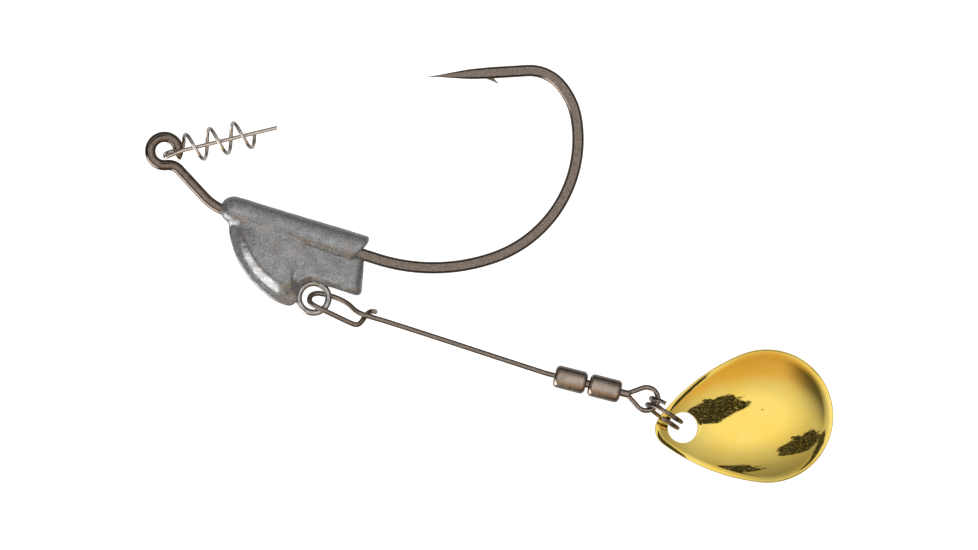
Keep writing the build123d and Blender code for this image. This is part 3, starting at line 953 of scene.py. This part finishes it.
def draw_arm():
    """One wire from its head in the front barrel to the snap loop's hooked end."""
    arm_way = heading(ARM_HEADING)
    arm_side = heading(ARM_HEADING + 90)
    head_inside = BARREL_LENGTH / 2 - BARREL_END_WALL - HEAD_PLAY - HEAD_LENGTH
    head_at = SWIVEL_AT - heading(SWIVEL_HEADING) * head_inside
    pen = Pen("arm_wire", head_at, SWIVEL_HEADING + 180, HEAD_R, sides=24)
    pen.run(HEAD_LENGTH - HEAD_EDGE)
    pen.run(HEAD_EDGE, ARM_WIRE_R / HEAD_R)
    pen.run(BARREL_END_WALL + HEAD_PLAY + SWIVEL_LEAD * STRAIGHT_LEAD)
    places = [pen.point, pen.point, ARM_BEND - arm_way * BEND_LEAD]
    for along, across, up in ARM_PLACES:
        places.append(EYELET_CENTRE + arm_way * along + arm_side * across + Vector((0, 0, up)))
    pen.follow(through(places, ARM_STEPS))
    return settle(pen.piece, smooth_angle=50.0)


arm = draw_arm()
coat(arm, GUNMETAL)
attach(arm, "arm")
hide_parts("spinner_arm")


# ------------------------------------------------------------------ swivel eye
def smoothed_copy(node_name, voxel, passes):
    """A copy of a piece of the design with its joints and edges softened."""
    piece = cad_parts[node_name].copy()
    piece.data = piece.data.copy()
    bpy.context.scene.collection.objects.link(piece)
    settle(piece)
    apply_modifier(piece, "REMESH", mode="VOXEL", voxel_size=voxel * MM)
    apply_modifier(piece, "SMOOTH", factor=0.5, iterations=passes)
    bpy.ops.object.shade_smooth()
    return piece


swivel_eye = smoothed_copy("swivel_eye", voxel=0.05, passes=5)
swivel_eye.name = "eye_loop"
coat(swivel_eye, GUNMETAL)
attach(swivel_eye, "swivel_eye")
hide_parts("swivel_eye")


# ------------------------------------------------------------------ studio
VIEW_WIDTH = 142.8
VIEW_CENTRE = Vector((47.4, -18.1, 0.0))
CAMERA_HEIGHT = 1200.0
CAMERA_NEAR = 10.0           # nothing nearer to the camera is drawn
FLOOR_SIZE = 6000.0
FLOOR_DROP = 0.05
FLOOR_WHITE = 0.9
FLOOR_GLOW = 0.72
KEY_HEADING = 222.0          # where the low white panel stands
KEY_STRENGTH = 3.4
SIDE_HEADING = 205.0         # on this side the sky stays dark higher up
SOFT_LIGHT = 0.9             # the even light that falls on everything
BACKDROP_WHITE = 0.93
CARD_GLINT = 0.6             # small light specks on the dark cards
CARD_BLACK = 0.03
TEAR_SCALE = 2.2             # of the unevenness of the cards' torn edges
TEAR_EDGE = (0.66, 0.69)     # from clear to dark
SPECK_SCALE = 16.0
SPECK_EDGE = (0.58, 0.70)    # from dark to light
NEAR_EDGE = (0.15, 0.60)     # how far round each part of the sky starts and is full,
SIDE_EDGE = (0.55, 0.80)     # as a direction's share along that part's own way
KEY_EDGE = (0.85, 0.95)
PANEL_FOOT = (0.22, 0.26)    # heights: 0 is straight down, 0.5 is level and 1 straight up
PANEL_HEAD = (0.64, 0.68)


def place_floor():
    """Plain pale floor just below the lure, left out of reflections."""
    clear_selection()
    bpy.ops.mesh.primitive_plane_add(
        size=FLOOR_SIZE * MM,
        location=(VIEW_CENTRE.x * MM, VIEW_CENTRE.y * MM, CAD_BOX[0][2] - FLOOR_DROP * MM),
    )
    floor = bpy.context.object
    floor.name = "floor"
    material, _, _, shader = new_material("pale_floor")
    shader.inputs["Base Color"].default_value = (FLOOR_WHITE,) * 3 + (1,)
    shader.inputs["Roughness"].default_value = 1.0
    shader.inputs["Specular IOR Level"].default_value = 0.0
    shader.inputs["Emission Color"].default_value = (1, 1, 1, 1)
    shader.inputs["Emission Strength"].default_value = FLOOR_GLOW
    coat(floor, material)
    floor.visible_glossy = False


def dark_card(name, place, size, turn):
    """A dark card over the blade, seen only in reflections, with a torn edge."""
    clear_selection()
    bpy.ops.mesh.primitive_plane_add(size=2.0, location=Vector(place) * MM)
    card = bpy.context.object
    card.name = name
    card.rotation_euler = (0, 0, radians(turn))
    card.scale = (size[0] * MM, size[1] * MM, 1)
    material, nodes, links, shader = new_material(name)
    spot = nodes.new("ShaderNodeTexCoord")
    middle = nodes.new("ShaderNodeTexGradient")
    middle.gradient_type = "SPHERICAL"
    links.new(spot.outputs["Object"], middle.inputs["Vector"])
    torn = nodes.new("ShaderNodeTexNoise")
    torn.inputs["Scale"].default_value = TEAR_SCALE
    torn.inputs["Detail"].default_value = 6.0
    links.new(spot.outputs["Object"], torn.inputs["Vector"])
    total = nodes.new("ShaderNodeMath")
    total.operation = "ADD"
    links.new(middle.outputs["Fac"], total.inputs[0])
    links.new(torn.outputs["Fac"], total.inputs[1])
    shown = ramp(nodes, links, total, (TEAR_EDGE[0], 0.0), (TEAR_EDGE[1], 1.0))
    speck = nodes.new("ShaderNodeTexNoise")
    speck.inputs["Scale"].default_value = SPECK_SCALE
    links.new(spot.outputs["Object"], speck.inputs["Vector"])
    glint = ramp(nodes, links, speck, (SPECK_EDGE[0], CARD_BLACK), (SPECK_EDGE[1], CARD_GLINT))
    shader.inputs["Base Color"].default_value = (0, 0, 0, 1)
    shader.inputs["Specular IOR Level"].default_value = 0.0
    links.new(glint.outputs["Color"], shader.inputs["Emission Color"])
    shader.inputs["Emission Strength"].default_value = 1.0
    links.new(shown.outputs["Color"], shader.inputs["Alpha"])
    coat(card, material)
    card.visible_camera = False
    card.visible_diffuse = False
    card.visible_shadow = False


def sky_mask(nodes, links, place, way, low, high):
    """0 to 1 as the direction turns from low to high, by its share along a way."""
    towards = nodes.new("ShaderNodeVectorMath")
    towards.operation = "DOT_PRODUCT"
    towards.inputs[1].default_value = way
    links.new(place.outputs["Generated"], towards.inputs[0])
    mask = nodes.new("ShaderNodeMapRange")
    mask.interpolation_type = "SMOOTHSTEP"
    mask.inputs["From Min"].default_value = low
    mask.inputs["From Max"].default_value = high
    links.new(towards.outputs["Value"], mask.inputs["Value"])
    return mask.outputs["Result"]


def light_studio():
    """A sky bright overhead and dark at the horizon, a pale ground and a low white panel."""
    world = bpy.data.worlds.new("studio")
    bpy.context.scene.world = world
    world.use_nodes = True
    nodes, links = world.node_tree.nodes, world.node_tree.links
    background = nodes["Background"]
    place = nodes.new("ShaderNodeTexCoord")
    split = nodes.new("ShaderNodeSeparateXYZ")
    links.new(place.outputs["Generated"], split.inputs[0])
    height = nodes.new("ShaderNodeMath")
    height.operation = "MULTIPLY_ADD"
    height.inputs[1].default_value = 0.5
    height.inputs[2].default_value = 0.5
    links.new(split.outputs["Z"], height.inputs[0])
    open_sky = ramp(
        nodes, links, height,
        (0.15, 0.55), (0.30, 0.30), (0.38, 0.05), (0.54, 0.07), (0.66, 0.27), (0.76, 0.40),
        (0.88, 0.68), (0.96, 1.0),
    )
    near_sky = ramp(
        nodes, links, height,
        (0.15, 0.50), (0.32, 0.22), (0.38, 0.03), (0.57, 0.04), (0.64, (0.62, 0.42, 0.20)),
        (0.80, (0.72, 0.52, 0.28)), (0.90, 0.80), (0.96, 1.0),
    )
    key_sky = ramp(
        nodes, links, height,
        (0.15, 0.80), (0.34, 0.36), (0.38, 0.03), (0.72, 0.05), (0.82, 0.12), (0.90, 0.55),
        (0.96, 1.0),
    )
    near = sky_mask(nodes, links, place, (0, -1, 0), *NEAR_EDGE)
    side = sky_mask(nodes, links, place, heading(SIDE_HEADING), *SIDE_EDGE)
    sides = blend_colours(
        nodes, links, near, open_sky.outputs["Color"], near_sky.outputs["Color"]
    )
    sides = blend_colours(nodes, links, side, sides, key_sky.outputs["Color"])
    panel = ramp(
        nodes, links, height,
        (PANEL_FOOT[0], 0.0), (PANEL_FOOT[1], 1.0), (PANEL_HEAD[0], 1.0), (PANEL_HEAD[1], 0.0),
    )
    lit = nodes.new("ShaderNodeMath")
    lit.operation = "MULTIPLY"
    links.new(panel.outputs["Color"], lit.inputs[0])
    key = sky_mask(nodes, links, place, heading(KEY_HEADING), *KEY_EDGE)
    links.new(key, lit.inputs[1])
    sky = blend_colours(nodes, links, lit.outputs["Value"], sides, (KEY_STRENGTH,) * 3)
    path = nodes.new("ShaderNodeLightPath")
    soft = blend_colours(nodes, links, path.outputs["Is Diffuse Ray"], sky, (SOFT_LIGHT,) * 3)
    backdrop = (BACKDROP_WHITE,) * 3
    seen = blend_colours(nodes, links, path.outputs["Is Camera Ray"], soft, backdrop)
    links.new(seen, background.inputs["Color"])
    background.inputs["Strength"].default_value = 1.0


def place_camera():
    """Camera straight above the lure, which sees VIEW_WIDTH at the hook's plane."""
    data = bpy.data.cameras.new("camera")
    camera = bpy.data.objects.new("camera", data)
    bpy.context.scene.collection.objects.link(camera)
    camera.location = (VIEW_CENTRE + Vector((0, 0, CAMERA_HEIGHT))) * MM
    data.lens = data.sensor_width * CAMERA_HEIGHT / VIEW_WIDTH
    data.clip_start = CAMERA_NEAR * MM
    bpy.context.scene.camera = camera
    bpy.context.scene.view_settings.view_transform = "Standard"


place_floor()
dark_card("card_over_blade", (104.0, -50.0, 45.0), (21, 15), 20)
dark_card("card_beside_blade", (-52.0, 84.0, 160.0), (84, 74), 35)
dark_card("card_behind_blade", (101.0, 6.0, 30.0), (30, 14), 4)
light_studio()
place_camera()
